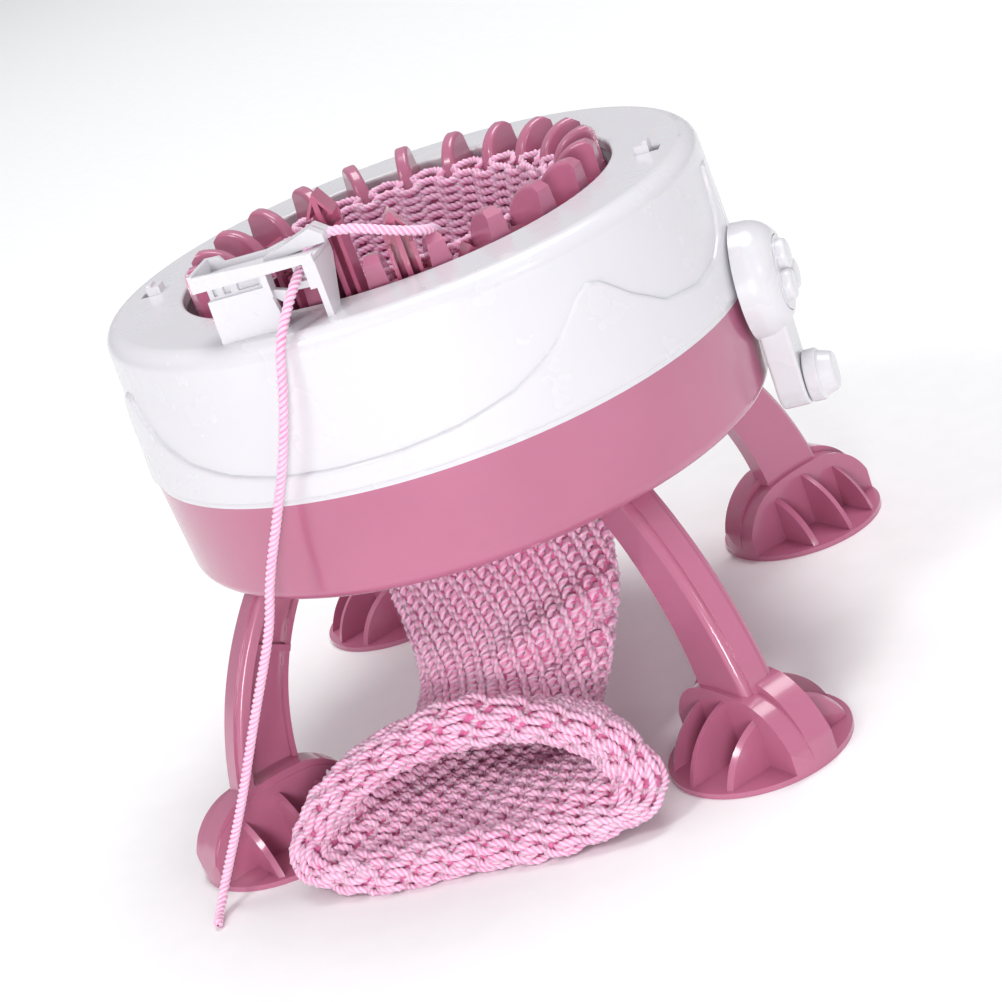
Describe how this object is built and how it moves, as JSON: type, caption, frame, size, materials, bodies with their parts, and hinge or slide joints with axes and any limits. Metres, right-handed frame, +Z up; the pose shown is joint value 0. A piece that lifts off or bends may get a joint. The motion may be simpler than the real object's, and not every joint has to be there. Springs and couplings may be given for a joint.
{
  "type": "circular knitting machine",
  "caption": "Toy circular knitting machine: a drum on four bowed legs, a ring of needles turned by a side crank, with a finished tube hanging under it",
  "frame": {"origin": "on the needle ring's axis, on the surface that the feet stand on", "axes": "+Z up along the needle ring's axis; +X outwards along the crank's axle; -Y is the side with the yarn guide, where the finished tube comes out"},
  "size_m": [0.2068, 0.2132, 0.179],
  "materials": {
    "pink_plastic": "glossy",
    "white_plastic": "glossy",
    "needle_plastic": "glossy",
    "steel": "satin",
    "pink_yarn": "soft"
  },
  "bodies": {
    "base": {"base_housing": "pink_plastic", "top_cover": "white_plastic", "housing_screws": "steel", "cover_latches": "white_plastic", "cam_ring": "white_plastic", "bearing_ring": "white_plastic", "crank_bush": "white_plastic", "leg_back_right": "pink_plastic", "leg_back_left": "pink_plastic", "leg_front_left": "pink_plastic", "leg_front_right": "pink_plastic", "yarn_guide": "white_plastic", "yarn_tray": "white_plastic", "knit_tube": "pink_yarn", "yarn_strand": "pink_yarn"},
    "rotor": {"needle_cylinder": "pink_plastic", "drive_gear": "white_plastic", "ring_screws": "steel", "knit_funnel": "pink_yarn"},
    "crank": {"crank_shaft": "steel", "crank_pinion": "white_plastic", "crank_arm": "white_plastic", "hub_cap": "white_plastic", "crank_screw": "steel", "knob_pin": "steel"},
    "knob": {"crank_knob": "white_plastic"},
    "needle_body_01": {"needle_01": "needle_plastic"},
    "needle_body_02": {"needle_02": "needle_plastic"},
    "needle_body_03": {"needle_03": "needle_plastic"},
    "needle_body_04": {"needle_04": "needle_plastic"},
    "needle_body_05": {"needle_05": "needle_plastic"},
    "needle_body_06": {"needle_06": "needle_plastic"},
    "needle_body_07": {"needle_07": "needle_plastic"},
    "needle_body_08": {"needle_08": "needle_plastic"},
    "needle_body_09": {"needle_09": "needle_plastic"},
    "needle_body_10": {"needle_10": "needle_plastic"},
    "needle_body_11": {"needle_11": "needle_plastic"},
    "needle_body_12": {"needle_12": "needle_plastic"},
    "needle_body_13": {"needle_13": "needle_plastic"},
    "needle_body_14": {"needle_14": "needle_plastic"},
    "needle_body_15": {"needle_15": "needle_plastic"},
    "needle_body_16": {"needle_16": "needle_plastic"},
    "needle_body_17": {"needle_17": "needle_plastic"},
    "needle_body_18": {"needle_18": "needle_plastic"},
    "needle_body_19": {"needle_19": "needle_plastic"},
    "needle_body_20": {"needle_20": "needle_plastic"},
    "needle_body_21": {"needle_21": "needle_plastic"},
    "needle_body_22": {"needle_22": "needle_plastic"}
  },
  "joints": [
    {"name": "rotor_spin", "type": "hinge", "parent": "base", "child": "rotor", "pos_m": [0, 0, 0.0802], "axis": [0, 0, 1], "continuous": true},
    {"name": "crank_turn", "type": "hinge", "parent": "base", "child": "crank", "pos_m": [0.0918, 0, 0.107], "axis": [1, 0, 0], "continuous": true},
    {"name": "knob_spin", "type": "hinge", "parent": "crank", "child": "knob", "pos_m": [0.1007, 0, 0.075], "axis": [1, 0, 0], "continuous": true},
    {"name": "needle_01_slide", "type": "slide", "parent": "rotor", "child": "needle_body_01", "axis": [0, 0, 1], "range_m": [0, 0.0295]},
    {"name": "needle_02_slide", "type": "slide", "parent": "rotor", "child": "needle_body_02", "axis": [0, 0, 1], "range_m": [0, 0.0295]},
    {"name": "needle_03_slide", "type": "slide", "parent": "rotor", "child": "needle_body_03", "axis": [0, 0, 1], "range_m": [0, 0.0295]},
    {"name": "needle_04_slide", "type": "slide", "parent": "rotor", "child": "needle_body_04", "axis": [0, 0, 1], "range_m": [0, 0.0295]},
    {"name": "needle_05_slide", "type": "slide", "parent": "rotor", "child": "needle_body_05", "axis": [0, 0, 1], "range_m": [0, 0.0295]},
    {"name": "needle_06_slide", "type": "slide", "parent": "rotor", "child": "needle_body_06", "axis": [0, 0, 1], "range_m": [0, 0.0295]},
    {"name": "needle_07_slide", "type": "slide", "parent": "rotor", "child": "needle_body_07", "axis": [0, 0, 1], "range_m": [0, 0.0295]},
    {"name": "needle_08_slide", "type": "slide", "parent": "rotor", "child": "needle_body_08", "axis": [0, 0, 1], "range_m": [0, 0.0295]},
    {"name": "needle_09_slide", "type": "slide", "parent": "rotor", "child": "needle_body_09", "axis": [0, 0, 1], "range_m": [0, 0.0295]},
    {"name": "needle_10_slide", "type": "slide", "parent": "rotor", "child": "needle_body_10", "axis": [0, 0, 1], "range_m": [0, 0.0295]},
    {"name": "needle_11_slide", "type": "slide", "parent": "rotor", "child": "needle_body_11", "axis": [0, 0, 1], "range_m": [0, 0.0295]},
    {"name": "needle_12_slide", "type": "slide", "parent": "rotor", "child": "needle_body_12", "axis": [0, 0, 1], "range_m": [0, 0.0295]},
    {"name": "needle_13_slide", "type": "slide", "parent": "rotor", "child": "needle_body_13", "axis": [0, 0, 1], "range_m": [0, 0.0295]},
    {"name": "needle_14_slide", "type": "slide", "parent": "rotor", "child": "needle_body_14", "axis": [0, 0, 1], "range_m": [0, 0.0295]},
    {"name": "needle_15_slide", "type": "slide", "parent": "rotor", "child": "needle_body_15", "axis": [0, 0, 1], "range_m": [-0.00244, 0.02706]},
    {"name": "needle_16_slide", "type": "slide", "parent": "rotor", "child": "needle_body_16", "axis": [0, 0, 1], "range_m": [-0.019, 0.0105]},
    {"name": "needle_17_slide", "type": "slide", "parent": "rotor", "child": "needle_body_17", "axis": [0, 0, 1], "range_m": [-0.0295, 0]},
    {"name": "needle_18_slide", "type": "slide", "parent": "rotor", "child": "needle_body_18", "axis": [0, 0, 1], "range_m": [-0.019, 0.0105]},
    {"name": "needle_19_slide", "type": "slide", "parent": "rotor", "child": "needle_body_19", "axis": [0, 0, 1], "range_m": [-0.00244, 0.02706]},
    {"name": "needle_20_slide", "type": "slide", "parent": "rotor", "child": "needle_body_20", "axis": [0, 0, 1], "range_m": [0, 0.0295]},
    {"name": "needle_21_slide", "type": "slide", "parent": "rotor", "child": "needle_body_21", "axis": [0, 0, 1], "range_m": [0, 0.0295]},
    {"name": "needle_22_slide", "type": "slide", "parent": "rotor", "child": "needle_body_22", "axis": [0, 0, 1], "range_m": [0, 0.0295]}
  ],
  "couplings": [
    {"joint": "crank_turn", "follows": "rotor_spin", "ratio": 6}
  ]
}
